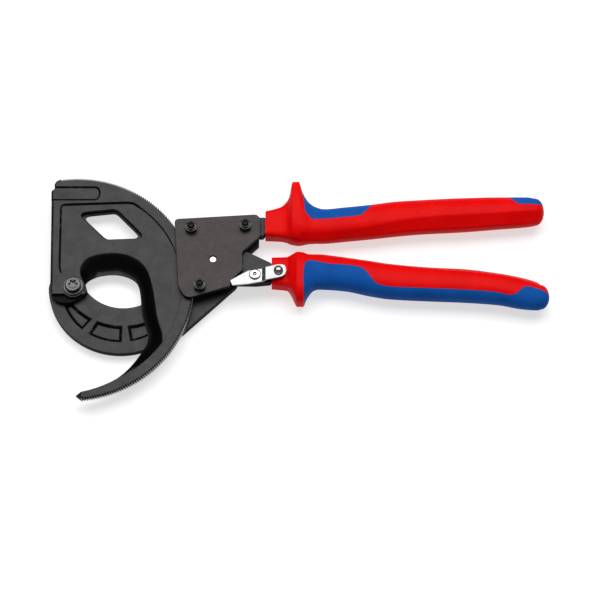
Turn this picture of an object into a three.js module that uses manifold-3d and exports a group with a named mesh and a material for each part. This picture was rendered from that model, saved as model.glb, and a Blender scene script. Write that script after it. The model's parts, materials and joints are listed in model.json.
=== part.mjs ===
// Ratcheting cable cutter, 320 mm long, for cables up to 60 mm across. Millimetres, +Z up.
//
// Every part is drawn from the blade pivot: x = 0, y = 0 is the pivot axis, and z = 0 is mid thickness
// of the moving blade. The tool lies on its rear side with its front cover up. The finished group is
// moved at the end, so that its origin is the middle of the footprint that it stands on.

import * as THREE from 'three';
import { mergeVertices } from 'three/addons/utils/BufferGeometryUtils.js';
import Module from 'manifold-3d';

const wasm = await Module();
wasm.setup();

// ---------------------------------------------------------------- driving dimensions

const GAP = 0.3;                     // clearance between neighbouring solids
const PIN_PLAY = 0.15;               // radial play of a pin in its hole

// layers, from the rear face of the fixed blade to the front face of the cover
const BLADE_REAR = -3;
const BLADE_FRONT = 3;
const RECESS_FLOOR = 1.8;            // recessed panel on the front of the moving blade
const FIXED_FRONT = BLADE_REAR - GAP;
const FIXED_REAR = FIXED_FRONT - 5;
const MIDDLE_REAR = -3;              // handle tang and drive lever
const MIDDLE_FRONT = 3.2;
const COVER_REAR = MIDDLE_FRONT + GAP;
const COVER_FRONT = COVER_REAR + 2.8;
const PAWL_FRONT = -0.05;
const LAP_REAR = 0.25;               // the lever's lap over the drive pawl

// moving blade
const TIP_RADIUS = 77;               // tips of the ratchet teeth
const TOOTH_DEPTH = 1.15;
const TOOTH_COUNT = 154;             // a pitch of 1.6 mm
const TOOTH_RISE = 0.82;             // where a tooth peaks, as a share of the pitch
const RAIL_START = 98.6;             // degrees, first tooth
const RAIL_END = -84.7;              // degrees, last tooth, at the tail
const RAIL_INNER = 69.4;             // border of the recessed panel
const TAIL_START = -60;              // degrees, where the rail starts to narrow towards the tail
const TAIL_INNER = 72;               // inner radius at the end of the tail
const TAIL_TIP = [4, -73];
const BADGE_DEPTH = 0.5;
const BOSS_STEP_HEIGHT = 0.4;        // step in front of the pivot boss
const BLADE_BOSS = 7.4;

// fixed blade
const JAW_CENTRE = [32, 17.6];       // the 60 mm cutting arc
const JAW_RADIUS = 30;
const RING_CENTRE = [30.8, 3.7];
const RING_RADIUS = 47.3;
const BOSS_RADIUS = 16.5;
const POCKET_OUTER = 38.5;           // about the ring's centre
const POCKET_INNER = 43.1;           // about the jaw's centre
const POCKET_DEPTH = 1.3;
const POCKETS = [[-157, -130], [-120, -90], [-79.5, -50]];

// fasteners and pins
const BOLTS = [[75, 39], [109.9, 40.6], [81.3, -1.3]];
const BOLT_RADIUS = 2;
const BOLT_HEAD_RADIUS = 3.6;
const BOLT_HEAD_HEIGHT = 2.8;
const HEX_KEY_RADIUS = 1.5;
const NUT_ACROSS_FLATS = 7;
const NUT_HEIGHT = 5.2;
const SLEEVE_RADIUS = 3.2;
const PIVOT_BARREL = 5;
const PIVOT_FLANGE = 8;
const PIVOT_FLANGE_HEIGHT = 2.2;
const WASHER_RADIUS = 6.35;
const WASHER_THICKNESS = 1.1;
const SCREW_RADIUS = 2.9;
const SCREW_HEAD_RADIUS = 5;
const SCREW_HEAD_HEIGHT = 2.7;
const LOBE_REACH = 2.75;             // six-lobe socket, 5.5 mm across
const LOBE_HALF_WIDTH = 0.75;
const HANDLE_PIN = [89.3, 17.7];
const HANDLE_PIN_RADIUS = 4;
const HANDLE_PIN_END_RADIUS = 2.3;

// pawls
const DRIVE_PAWL_PIN = [82, 18.7];
const DRIVE_PAWL_TIP = [77.36, 5.38];
const HOLDING_PAWL_PIN = [83, 33.5];
const HOLDING_PAWL_TIP = [74.15, 22.75];
const PAWL_PIN_RADIUS = 1.5;
const PAWL_BOSS = 2.8;
const SPRING_RADIUS = 2.45;
const SPRING_POCKET = 3.2;
const SPRING_WIRE = 0.5;

// latch on the drive lever
const LATCH_RIVET = [116.3, 6.3];
const LATCH_PLATE = [6.8, 8.2];
const LATCH_STRIP = [9.2, 10.4];
const LATCH_BUTTON = [131.4, 8.1];
const RIVET_RADIUS = 1.6;
const RIVET_HEAD_RADIUS = 3.7;
const RIVET_COLLAR_RADIUS = 3;
const BUTTON_RADIUS = 3;
const BUTTON_SHANK_RADIUS = 1.3;

// handle grips
const COLLAR_HALF = 6.5;
const GRIP_HALF = 9.3;
const GUARD_HALF = 11.4;
const CAVITY_PLAY = 0.35;            // between a handle's steel core and its grip
const PAD_GAP = 0.15;                // half of the seam round a soft pad
const PAD_PARTING = 2;               // above this height a pad has its front border

// ---------------------------------------------------------------- materials

const steelBlack = { color: 0x2b2c2d, roughness: 0.5, metalness: 0.8 };
const coverBlack = { color: 0x343130, roughness: 0.45, metalness: 0.8 };
const boltBlack = { color: 0x141414, roughness: 0.35, metalness: 0.7 };
const steelGrey = { color: 0x8b8887, roughness: 0.35, metalness: 1 };
const steelBright = { color: 0xd8d8d8, roughness: 0.2, metalness: 1 };
const springSteel = { color: 0x9a9a98, roughness: 0.4, metalness: 1 };
const gripRed = { color: 0xd80b12, roughness: 0.45, metalness: 0 };
const gripBlue = { color: 0x154a98, roughness: 0.6, metalness: 0 };

// ---------------------------------------------------------------- solids

const model = new THREE.Group();

function addPart(name, geometry, finish) {
  const mesh = new THREE.Mesh(geometry, new THREE.MeshStandardMaterial(finish));
  mesh.name = name;
  model.add(mesh);
}

// shared vertices are merged, and triangles that shrank to a line on the axis are dropped
function welded(geometry) {
  const bare = geometry.clone();
  bare.deleteAttribute('normal');
  bare.deleteAttribute('uv');
  const merged = mergeVertices(bare, 1e-4);
  const old = merged.index.array;
  const index = [];
  for (let i = 0; i < old.length; i += 3) {
    const [a, b, c] = [old[i], old[i + 1], old[i + 2]];
    if (a !== b && b !== c && c !== a) index.push(a, b, c);
  }
  merged.setIndex(index);
  return merged;
}

function toManifold(geometry) {
  const closed = welded(geometry);
  return new wasm.Manifold(new wasm.Mesh({
    numProp: 3,
    vertProperties: new Float32Array(closed.attributes.position.array),
    triVerts: new Uint32Array(closed.index.array),
  }));
}

function toGeometry(manifold) {
  const mesh = manifold.getMesh();
  const geometry = new THREE.BufferGeometry();
  geometry.setAttribute('position', new THREE.BufferAttribute(mesh.vertProperties, 3));
  geometry.setIndex(new THREE.BufferAttribute(mesh.triVerts, 1));
  return geometry;
}

function cut(base, ...tools) {
  const solid = tools.reduce((left, tool) => left.subtract(toManifold(tool)), toManifold(base));
  return toGeometry(solid);
}

function join(base, ...others) {
  return toGeometry(others.reduce((sum, other) => sum.add(toManifold(other)), toManifold(base)));
}

function common(a, b) {
  return toGeometry(toManifold(a).intersect(toManifold(b)));
}

function polar([cx, cy], radius, degrees) {
  const angle = THREE.MathUtils.degToRad(degrees);
  return [cx + radius * Math.cos(angle), cy + radius * Math.sin(angle)];
}

// points of an arc from one angle to another, both included
function arcPoints(centre, radius, from, to, steps) {
  return Array.from({ length: steps + 1 }, (_, i) => polar(centre, radius, from + ((to - from) * i) / steps));
}

// a closed polygon whose corners [x, y, r] are rounded off, starting r before and ending r after
function roundedShape(corners) {
  const points = corners.map(([x, y]) => new THREE.Vector2(x, y));
  const shape = new THREE.Shape();
  corners.forEach(([x, y, r = 0], i) => {
    const before = points[(i + points.length - 1) % points.length].clone().sub(points[i]);
    const after = points[(i + 1) % points.length].clone().sub(points[i]);
    const start = before.setLength(r).add(points[i]);
    const end = after.setLength(r).add(points[i]);
    if (i === 0) shape.moveTo(start.x, start.y);
    else shape.lineTo(start.x, start.y);
    if (r > 0) shape.quadraticCurveTo(x, y, end.x, end.y);
  });
  shape.closePath();
  return shape;
}

// a flat plate between two heights, from a Shape or from a list of points
function plate(outline, low, high, curveSegments = 6) {
  const shape = Array.isArray(outline)
    ? new THREE.Shape(outline.map(([x, y]) => new THREE.Vector2(x, y)))
    : outline;
  const geometry = new THREE.ExtrudeGeometry(shape, { depth: high - low, bevelEnabled: false, curveSegments });
  return geometry.translate(0, 0, low);
}

function disc([x, y], radius, low, high, sides = 28) {
  const geometry = new THREE.CylinderGeometry(radius, radius, high - low, sides);
  return geometry.rotateX(Math.PI / 2).translate(x, y, (low + high) / 2);
}

// a turned part about a Z axis; its [radius, height] points run upwards on the outer side
function turned([x, y], profile, sides = 28) {
  const points = profile.map(([radius, height]) => new THREE.Vector2(radius, height));
  return welded(new THREE.LatheGeometry(points, sides)).rotateX(Math.PI / 2).translate(x, y, 0);
}

// a closed skin over rings with equal numbers of points; flat(point) gives a ring's own 2D plane
function loft(rings, flat) {
  const count = rings[0].length;
  const index = [];
  for (let i = 0; i < rings.length - 1; i += 1) {
    for (let j = 0; j < count; j += 1) {
      const a = i * count + j;
      const b = i * count + ((j + 1) % count);
      index.push(a, b, b + count, a, b + count, a + count);
    }
  }
  const last = (rings.length - 1) * count;
  const firstCap = THREE.ShapeUtils.triangulateShape(rings[0].map(flat), []);
  const lastCap = THREE.ShapeUtils.triangulateShape(rings[rings.length - 1].map(flat), []);
  firstCap.forEach(([a, b, c]) => index.push(a, c, b));
  lastCap.forEach(([a, b, c]) => index.push(last + a, last + b, last + c));
  const geometry = new THREE.BufferGeometry();
  geometry.setAttribute('position', new THREE.Float32BufferAttribute(rings.flat(2), 3));
  geometry.setIndex(index);
  return geometry;
}

// ---------------------------------------------------------------- moving blade

// The cutting edge at the rear face, and the upper border of its hollow-ground bevel at the recess
// floor, run side by side from the pivot boss, over the eye and down to the tail.
const EDGE = [
  [9.1, -2.5], [7.9, 1.6], [7.5, 3.9], [10, 6.4], [13.2, 8.1], [16.6, 9.3], [22.8, 10.2], [29.2, 9.9],
  [35.7, 7.8], [40.3, 4.3], [42.2, -0.5], [43.2, -7.5], [44, -16.4], [45.9, -22.8], [48.2, -30.3],
  [48, -36.1], [45.8, -41], [40.6, -49.3], [34.7, -56.2], [27.5, -62.3], [20.8, -67.9],
];
const BEVEL = [
  [8.4, -2.2], [6.9, 2.6], [5, 6.6], [3.6, 11], [4.2, 16.5], [8.7, 22], [19.5, 24.8], [31, 24.5],
  [40.5, 20.5], [46.3, 14], [49.5, 6.5], [52, -3], [53.6, -14], [55.5, -23.5], [58.2, -32],
  [57.8, -38.4], [53.5, -44.2], [46, -52], [38.2, -57.9], [29, -64.2], [20.8, -67.9],
];
const EDGE_STEPS = 44;
const EDGE_LAND = 0.4;               // flat land behind the cutting edge
const GRIND = [0.2, 0.4, 0.6, 0.8, 1]; // rows of the grind, as shares of its width

function splineThrough(points, steps) {
  const spline = new THREE.SplineCurve(points.map(([x, y]) => new THREE.Vector2(x, y)));
  return spline.getPoints(steps).map((p) => [p.x, p.y]);
}

// height of the grind: hollow at the edge, then rounding over into the flat of the blade
function grindRise(share) {
  return 0.5 - 0.5 * Math.cos(Math.PI * share ** 1.25);
}

function bladeBody() {
  const edge = splineThrough(EDGE, EDGE_STEPS);
  const bevel = splineThrough(BEVEL, EDGE_STEPS);
  const back = arcPoints([0, 0], TIP_RADIUS - 5.5, -74, 96, 22);
  const leftSide = [
    [-14.9, 69.6], [-16.85, 68.3], [-14.8, -2.4], [-13.6, -6.3], [-10.8, -9], [-6.5, -10.3],
    [-1, -9.9], [4.2, -7.5], [7.8, -4.4],
  ];
  const rows = [[BLADE_REAR, 0], [BLADE_REAR + EDGE_LAND, 0]];
  const grindBottom = BLADE_REAR + EDGE_LAND;
  for (const share of GRIND) {
    rows.push([grindBottom + (RECESS_FLOOR - grindBottom) * grindRise(share), share]);
  }
  rows.push([BLADE_FRONT, 1]);
  const rings = rows.map(([z, share]) => {
    const inner = edge.map(([x, y], i) => [
      x + (bevel[i][0] - x) * share,
      y + (bevel[i][1] - y) * share,
    ]);
    return [...back, ...leftSide, ...inner].map(([x, y]) => [x, y, z]);
  });
  return loft(rings, ([x, y]) => new THREE.Vector2(x, y));
}

// The toothed rail. Each tooth has its steep face turned towards the start of the rail, and the rail
// narrows towards the tail, whose end is ground to a slant.
function bladeRail() {
  const pitch = (RAIL_START - RAIL_END) / TOOTH_COUNT;
  const root = TIP_RADIUS - TOOTH_DEPTH;
  const inner = RAIL_INNER - 0.4;
  const outline = [TAIL_TIP];
  for (let i = TOOTH_COUNT; i > 0; i -= 1) {
    const start = RAIL_START - i * pitch;
    outline.push(polar([0, 0], root, start), polar([0, 0], TIP_RADIUS, start + TOOTH_RISE * pitch));
  }
  outline.push([-13.9, 74.9], [-15.2, 72.6], [-14.9, 69.6], ...arcPoints([0, 0], inner, 101, TAIL_START, 30));
  const tailSteps = 6;
  for (let i = 1; i <= tailSteps; i += 1) {
    const share = i / tailSteps;
    const angle = TAIL_START + (RAIL_END + 0.7 - TAIL_START) * share;
    outline.push(polar([0, 0], inner + (TAIL_INNER - inner) * share, angle));
  }
  const slant = plate([[2, BLADE_REAR - 0.2], [8.2, BLADE_FRONT + 0.6], [2, BLADE_FRONT + 0.6]], 68, 80)
    .rotateX(Math.PI / 2);
  return cut(plate(outline, BLADE_REAR, BLADE_FRONT), slant);
}

// everything inside the rail and the left band, open towards the eye, but not the boss at the pivot
function recessShape() {
  const shape = new THREE.Shape();
  shape.moveTo(-9.4, 14);
  shape.lineTo(-10.2, 55.2);
  shape.quadraticCurveTo(-10.2, 57.9, -7.3, 58);
  shape.lineTo(29.5, 59.3);
  shape.quadraticCurveTo(33.2, 59.6, ...polar([0, 0], RAIL_INNER, 58));
  shape.absarc(0, 0, RAIL_INNER, THREE.MathUtils.degToRad(58), THREE.MathUtils.degToRad(-64), true);
  shape.lineTo(28, -30);
  shape.lineTo(20, -8);
  shape.lineTo(...polar([0, 0], BLADE_BOSS + 3, -25));
  shape.lineTo(...polar([0, 0], BLADE_BOSS, -25));
  shape.absarc(0, 0, BLADE_BOSS, THREE.MathUtils.degToRad(-25), THREE.MathUtils.degToRad(122), false);
  shape.quadraticCurveTo(-8.6, 8.2, -9.4, 14);
  return shape;
}

function windowShape(inset) {
  const [cx, cy] = [22.9, 44];
  const corners = [[0.4, 52.3, 6.4], [25.8, 55.2, 3], [45.4, 34.6, 6.4], [19.3, 33.6, 3]];
  const keep = 1 - inset;
  return roundedShape(corners.map(([x, y, r]) => [cx + (x - cx) * keep, cy + (y - cy) * keep, r * keep]));
}

function movingBlade() {
  const badge = roundedShape([[-20, 61.4], [14.6, 61.4, 4], [14.6, 70.4, 4], [-20, 70.4]]);
  const bossStep = cut(
    plate([[-20, -14], [6, -14], [6, -5], [-20, -5]], BOSS_STEP_HEIGHT, BLADE_FRONT + 1),
    disc([0, 0], BLADE_BOSS, 0, BLADE_FRONT + 2),
  );
  const chamfer = plate([[-1.1, -1.1], [1.1, -1.1], [1.1, 1.1], [-1.1, 1.1]], -4, 70)
    .rotateZ(Math.PI / 4).rotateX(-Math.PI / 2).translate(-15.55, 0, BLADE_FRONT).rotateZ(0.029);
  return cut(
    join(bladeBody(), bladeRail()),
    plate(recessShape(), RECESS_FLOOR, BLADE_FRONT + 1, 36),
    plate(windowShape(0), -1.6, BLADE_FRONT + 1),
    plate(windowShape(0.14), BLADE_REAR - 1, 0),
    plate(badge, BLADE_FRONT - BADGE_DEPTH, BLADE_FRONT + 1),
    disc([0, 0], PIVOT_BARREL + PIN_PLAY, BLADE_REAR - 1, BLADE_FRONT + 1),
    bossStep,
    chamfer,
  );
}

addPart('moving_blade', movingBlade(), steelBlack);

// ---------------------------------------------------------------- fixed blade

function boltHoles(low, high) {
  return BOLTS.map((centre) => disc(centre, BOLT_RADIUS + PIN_PLAY, low, high, 20));
}

// ring, pivot boss and the plate under the cover in one piece, with the jaw open at the top
function fixedBladeShape() {
  const jaw = arcPoints(JAW_CENTRE, JAW_RADIUS, 0, -177.5, 40);
  const boss = arcPoints([0, 0], BOSS_RADIUS, 83, 170, 10);
  const ring = arcPoints(RING_CENTRE, RING_RADIUS, 183, 300, 32);
  const under = [
    [63, -33.6], [70.6, -29.5], [104, 2.5], [106.8, 9], [107, 20.8], [118.6, 32], [118.6, 45.5], [115, 48],
    [69.5, 45.4], [66.2, 42.5],
  ];
  return [...jaw, ...boss, ...ring, ...under];
}

// distance from the ring's centre, along a direction, to the pocket border round the jaw's centre
function pocketInner(degrees) {
  const direction = new THREE.Vector2(...polar([0, 0], 1, degrees));
  const offset = new THREE.Vector2(JAW_CENTRE[0] - RING_CENTRE[0], JAW_CENTRE[1] - RING_CENTRE[1]);
  const shift = direction.dot(offset);
  return shift + Math.sqrt(shift ** 2 - offset.lengthSq() + POCKET_INNER ** 2);
}

function pocket([from, to]) {
  const steps = 8;
  const inner = [];
  for (let i = steps; i >= 0; i -= 1) {
    const angle = from + ((to - from) * i) / steps;
    inner.push(polar(RING_CENTRE, Math.min(pocketInner(angle), POCKET_OUTER - 1), angle));
  }
  const outer = arcPoints(RING_CENTRE, POCKET_OUTER, from, to, steps);
  return plate([...outer, ...inner], FIXED_FRONT - POCKET_DEPTH, FIXED_FRONT + 1);
}

// hollow grind on the rear side of the jaw, kept to its lower half
function jawGrind() {
  const ring = turned(JAW_CENTRE, [
    [20, FIXED_REAR - 1], [JAW_RADIUS + 8.6, FIXED_REAR - 1], [JAW_RADIUS + 8.6, FIXED_REAR],
    [JAW_RADIUS + 6.6, FIXED_FRONT - 2.4], [JAW_RADIUS + 3.6, FIXED_FRONT - 1.1],
    [JAW_RADIUS, FIXED_FRONT - 0.4], [20, FIXED_FRONT - 0.4], [20, FIXED_REAR - 1],
  ], 60);
  const lowerHalf = plate([[8, -60], [60, -60], [60, 8], [24, 8], [8, -9]], FIXED_REAR - 2, FIXED_FRONT + 1);
  return common(ring, lowerHalf);
}

function fixedBlade() {
  const low = FIXED_REAR - 1;
  const high = FIXED_FRONT + 1;
  return cut(
    plate(fixedBladeShape(), FIXED_REAR, FIXED_FRONT),
    jawGrind(),
    ...POCKETS.map(pocket),
    ...boltHoles(low, high),
    disc([0, 0], PIVOT_BARREL + PIN_PLAY, low, high),
    disc(HANDLE_PIN, HANDLE_PIN_END_RADIUS + PIN_PLAY, low, high, 20),
    disc(HOLDING_PAWL_PIN, PAWL_PIN_RADIUS + PIN_PLAY, low, high, 20),
  );
}

addPart('fixed_blade', fixedBlade(), steelBlack);

// ---------------------------------------------------------------- front cover

function coverShape() {
  return roundedShape([
    [63.9, 46.1, 3], [117.3, 49.4, 2], [119.6, 46.4, 1.3], [119.6, 33.8, 1.2], [108, 22.6, 1.8],
    [108.6, 10.4, 1], [100.7, 2.5, 0.8], [100.7, -0.8, 1], [72.2, -10, 5.5], [67.4, -1, 2],
  ]);
}

function frontCover() {
  return cut(
    plate(coverShape(), COVER_REAR, COVER_FRONT),
    ...boltHoles(COVER_REAR - 1, COVER_FRONT + 1),
    disc(HANDLE_PIN, HANDLE_PIN_END_RADIUS + PIN_PLAY, COVER_REAR - 1, COVER_FRONT + 1, 20),
  );
}

addPart('front_cover', frontCover(), coverBlack);

// ---------------------------------------------------------------- bolts, nuts and pivot

const BOLT_HEAD = [FIXED_REAR - GAP - BOLT_HEAD_HEIGHT, FIXED_REAR - GAP];
const BOLT_END = COVER_FRONT + 6.1;

function coverBolt([x, y]) {
  const head = disc([x, y], BOLT_HEAD_RADIUS, ...BOLT_HEAD, 20);
  const socket = disc([x, y], HEX_KEY_RADIUS, BOLT_HEAD[0] - 1, BOLT_HEAD[0] + 1.6, 6);
  return cut(join(head, disc([x, y], BOLT_RADIUS, BOLT_HEAD[1] - 1, BOLT_END, 20)), socket);
}

// a self-locking nut: a washer face, a hexagon and a round collar
function lockNut([x, y]) {
  const seat = COVER_FRONT + GAP;
  const corner = NUT_ACROSS_FLATS / 2 / Math.cos(Math.PI / 6);
  const body = join(
    disc([x, y], NUT_ACROSS_FLATS / 2, seat, seat + 1, 20),
    disc([x, y], corner, seat + 0.5, seat + 3.6, 6),
    disc([x, y], NUT_ACROSS_FLATS / 2 - 0.4, seat + 3, seat + NUT_HEIGHT, 20),
  );
  return cut(body, disc([x, y], BOLT_RADIUS + PIN_PLAY, seat - 1, seat + NUT_HEIGHT + 1, 20));
}

BOLTS.forEach((centre, i) => {
  addPart(`cover_bolt_${i + 1}`, coverBolt(centre), boltBlack);
  addPart(`lock_nut_${i + 1}`, lockNut(centre), boltBlack);
});

addPart('spacer_sleeve', cut(
  disc(BOLTS[2], SLEEVE_RADIUS, MIDDLE_REAR, MIDDLE_FRONT, 20),
  disc(BOLTS[2], BOLT_RADIUS + PIN_PLAY, MIDDLE_REAR - 1, MIDDLE_FRONT + 1, 20),
), steelGrey);

const SCREW_SEAT = BLADE_FRONT + GAP + WASHER_THICKNESS;

// the barrel of the pivot nut is the bearing of the moving blade
function pivotNut() {
  const seat = FIXED_REAR - GAP;
  const foot = seat - PIVOT_FLANGE_HEIGHT;
  const body = turned([0, 0], [
    [0, foot], [PIVOT_FLANGE - 0.6, foot], [PIVOT_FLANGE, foot + 0.6], [PIVOT_FLANGE, seat],
    [PIVOT_BARREL, seat], [PIVOT_BARREL, BLADE_FRONT], [0, BLADE_FRONT],
  ]);
  const bore = disc([0, 0], SCREW_RADIUS + PIN_PLAY, foot + 0.8, BLADE_FRONT + 1);
  const spannerHoles = [-1, 1].map((side) => disc([0, side * 5.4], 1.1, foot - 1, foot + 1, 16));
  return cut(body, bore, ...spannerHoles);
}

function pivotScrew() {
  const head = SCREW_SEAT + 0.25;
  const body = join(
    disc([0, 0], SCREW_HEAD_RADIUS, head, head + SCREW_HEAD_HEIGHT),
    disc([0, 0], SCREW_RADIUS, FIXED_REAR - 1, head + 1, 20),
  );
  const lobe = [
    [-LOBE_REACH, -LOBE_HALF_WIDTH], [LOBE_REACH, -LOBE_HALF_WIDTH],
    [LOBE_REACH, LOBE_HALF_WIDTH], [-LOBE_REACH, LOBE_HALF_WIDTH],
  ];
  const lobes = [0, 1, 2].map((turn) => plate(lobe, head + 1, head + 4).rotateZ((turn * Math.PI) / 3));
  return cut(body, ...lobes, disc([0, 0], 1.9, head + 1, head + 4, 20));
}

addPart('pivot_nut', pivotNut(), boltBlack);
addPart('pivot_screw', pivotScrew(), steelGrey);
addPart('pivot_washer', cut(
  disc([0, 0], WASHER_RADIUS, BLADE_FRONT + GAP, SCREW_SEAT),
  disc([0, 0], SCREW_RADIUS + PIN_PLAY, BLADE_FRONT, SCREW_SEAT + 1),
), steelGrey);

addPart('handle_pin', join(
  disc(HANDLE_PIN, HANDLE_PIN_RADIUS, MIDDLE_REAR, MIDDLE_FRONT),
  disc(HANDLE_PIN, HANDLE_PIN_END_RADIUS, FIXED_REAR, COVER_FRONT - 0.4, 20),
), steelBright);

// ---------------------------------------------------------------- handle steel and grips

// widths of the steel inside the grips: [x, low y, high y]
const TANG_BAR = [[123, 37.4, 48.3], [175, 39.5, 50.5], [240, 45, 55.5], [284, 49.2, 57]];
const LEVER_BAR = [[126.6, 4.2, 16], [175, 4.5, 15.4], [240, -3.4, 7.4], [284, -8.8, -0.6]];

// the outline of a bar, grown all round except at its mouth
function barPoints(bar, grow = 0) {
  const endX = (x, i) => (i === bar.length - 1 ? x + grow : x);
  const lower = bar.map(([x, low], i) => [endX(x, i), low - grow]);
  const upper = bar.map(([x, , high], i) => [endX(x, i), high + grow]).reverse();
  return [...lower, ...upper];
}

function barCavity(bar, mouth) {
  const points = barPoints(bar, CAVITY_PLAY);
  const lowY = points[0][1];
  const highY = points[points.length - 1][1];
  const outline = [[mouth, lowY], ...points, [mouth, highY]];
  return plate(outline, MIDDLE_REAR - CAVITY_PLAY, MIDDLE_FRONT + CAVITY_PLAY);
}

function upperTang() {
  const boss = arcPoints(BOLTS[0], 4.4, 110, 290, 10);
  const head = [[81, 37.5], [88, 37.5], [94, 35.6], [121.4, 35.3]];
  const shape = [...boss, ...head, ...barPoints(TANG_BAR), [121.4, 48.6], [80, 46.4]];
  return cut(
    plate(shape, MIDDLE_REAR, MIDDLE_FRONT),
    ...boltHoles(MIDDLE_REAR - 1, MIDDLE_FRONT + 1),
  );
}

function driveLever() {
  const hub = arcPoints(HANDLE_PIN, 8.4, 100, 140, 4);
  const boss = arcPoints(DRIVE_PAWL_PIN, 4.2, 120, 262, 10);
  const shape = [
    ...hub, ...boss, [86, 10.2], [95, 6.9], [104, 2.4], [117, 2.2], [126.3, 3.1],
    ...barPoints(LEVER_BAR), [126.3, 16.6], [111.4, 24.1], [103, 26.3], [96, 26.6],
  ];
  const low = MIDDLE_REAR - 1;
  const high = MIDDLE_FRONT + 1;
  return cut(
    plate(shape, MIDDLE_REAR, MIDDLE_FRONT),
    plate([[70, 5], [86.9, 5], [86.9, 11], [85.1, 13.5], [85.1, 30], [70, 30]], low, LAP_REAR),
    disc(HANDLE_PIN, HANDLE_PIN_RADIUS + PIN_PLAY, low, high),
    disc(DRIVE_PAWL_PIN, PAWL_PIN_RADIUS + PIN_PLAY, low, high, 20),
    disc(DRIVE_PAWL_PIN, SPRING_POCKET, 1.5, high, 20),
    disc(LATCH_RIVET, RIVET_RADIUS + PIN_PLAY, low, high, 20),
  );
}

// cross-sections of the upper grip along x: [x, low y, high y, half depth, squareness]
const UPPER_GRIP = [
  [122.8, 34.9, 52.4, COLLAR_HALF, 6], [132.6, 34.2, 55.6, COLLAR_HALF, 5],
  [136.6, 33.2, 59.6, 7.4, 4], [138.4, 32.3, 63.6, 8.8, 3.4], [140.2, 31.8, 73.6, GUARD_HALF, 3],
  [144.4, 31.2, 74, GUARD_HALF, 3], [146.9, 31.4, 66.4, GUARD_HALF - 0.6, 2.8],
  [148.9, 31.7, 62.3, 10.2, 2.6], [151.6, 32, 58.8, 9.3, 2.5], [155.4, 32.1, 56.3, 8.8, 2.4],
  [160.8, 32.2, 54.8, 8.8, 2.4], [174.5, 33.6, 56, GRIP_HALF, 2.4], [190.8, 35.3, 57.8, GRIP_HALF, 2.4],
  [207, 37.2, 60.1, GRIP_HALF, 2.4], [223.5, 38.8, 61.2, GRIP_HALF, 2.4], [250, 40.3, 62.6, 9.2, 2.4],
  [275.7, 42.4, 63.3, 9, 2.3], [292, 43.8, 63.3, 8.6, 2.3], [298.5, 46.1, 62.3, 7.6, 2.2],
  [302.2, 50, 60.4, 5.8, 2.1], [303.9, 53.4, 58.4, 3.4, 2],
];

// the same for the lower grip, whose outer side faces -y
const LOWER_GRIP = [
  [127, 0.9, 19.7, COLLAR_HALF, 6], [136.9, -0.4, 20.3, COLLAR_HALF, 5],
  [139.4, -3.4, 21.6, 8.4, 4], [141.8, -8.9, 23, 10.2, 3.4], [143.2, -11.3, 23.9, GUARD_HALF, 3],
  [147.4, -11.4, 23.9, GUARD_HALF, 3], [148.9, -7.6, 23.2, GUARD_HALF - 0.6, 2.8],
  [151.2, -3.8, 22.8, 10, 2.6], [153.8, -1, 22.8, 9.2, 2.5], [157, -0.1, 22.9, 8.8, 2.4],
  [165, -0.4, 22, 9, 2.4], [174.2, -1.2, 20.6, GRIP_HALF, 2.4], [190, -4.7, 18.2, GRIP_HALF, 2.4],
  [202.8, -6.8, 16.1, GRIP_HALF, 2.4], [228.4, -8.2, 13.6, GRIP_HALF, 2.4], [250, -9.1, 12.4, 9.2, 2.4],
  [273, -11, 9.4, 9, 2.3], [286.6, -13.7, 6.6, 8.6, 2.3], [297, -14.6, 3.4, 7.8, 2.2],
  [302.4, -12.6, -1.6, 6, 2.1], [304.8, -9.8, -5.6, 3.4, 2],
];

function gripSolid(sections) {
  const around = 24;
  const rings = sections.map(([x, low, high, depth, squareness]) => Array.from({ length: around }, (_, i) => {
    const angle = (2 * Math.PI * (i + 0.5)) / around;
    const bend = (value) => Math.sign(value) * Math.abs(value) ** (2 / squareness);
    const y = (low + high) / 2 + ((high - low) / 2) * bend(Math.cos(angle));
    return [x, y, depth * bend(Math.sin(angle))];
  }));
  return loft(rings, ([, y, z]) => new THREE.Vector2(y, z));
}

// The soft pad is moulded over the outer side of the hard grip. Its border, seen from the front, comes
// down behind the guard, runs along the side, turns out to the back of the grip and drops at the end.
// The front border of the upper pad leaves the grip between its two ends, where only the back is soft.
const UPPER_PAD = [
  [144.9, 80], [145.4, 73], [147.4, 60], [148.5, 50.4], [149.8, 48.2], [152, 46.1], [155, 44.8], [174.3, 46.2],
  [183.9, 47.6], [187.2, 50], [190.2, 53.6], [194, 55.4], [223, 58], [250, 59], [282.5, 59.4], [286, 56.6],
  [289.5, 55.8], [308, 56],
];
const UPPER_PAD_FRONT = [
  [144.9, 80], [145.4, 73], [147.4, 60], [148.5, 50.4], [149.8, 48.2], [152, 46.1], [155, 44.8], [174.3, 46.2],
  [183.9, 47.6], [187.2, 50], [190.2, 53.6], [193, 57.5], [195.5, 61.5], [197, 68], [279, 68], [281.2, 61.5],
  [283.6, 58.6], [286, 56.6], [289.5, 55.8], [308, 56],
];
const LOWER_PAD = [
  [148.4, -20], [148.4, 13.5], [165, 13.4], [177.5, 12.4], [184.5, 10.8], [188, 7.6], [190.5, 4.2],
  [193.8, 0.4], [199, -1.4], [208, -2.4], [242, -3.8], [267.6, -5.5], [278.5, -7.6], [283, -6.6],
  [287.3, -3], [291, -2], [301, -4.6], [308, -8.4],
];

// a line moved sideways, to its left where the distance is positive
function offsetLine(points, distance) {
  return points.map(([x, y], i) => {
    const [x0, y0] = points[Math.max(i - 1, 0)];
    const [x1, y1] = points[Math.min(i + 1, points.length - 1)];
    const length = Math.hypot(x1 - x0, y1 - y0);
    return [x - (distance * (y1 - y0)) / length, y + (distance * (x1 - x0)) / length];
  });
}

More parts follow.
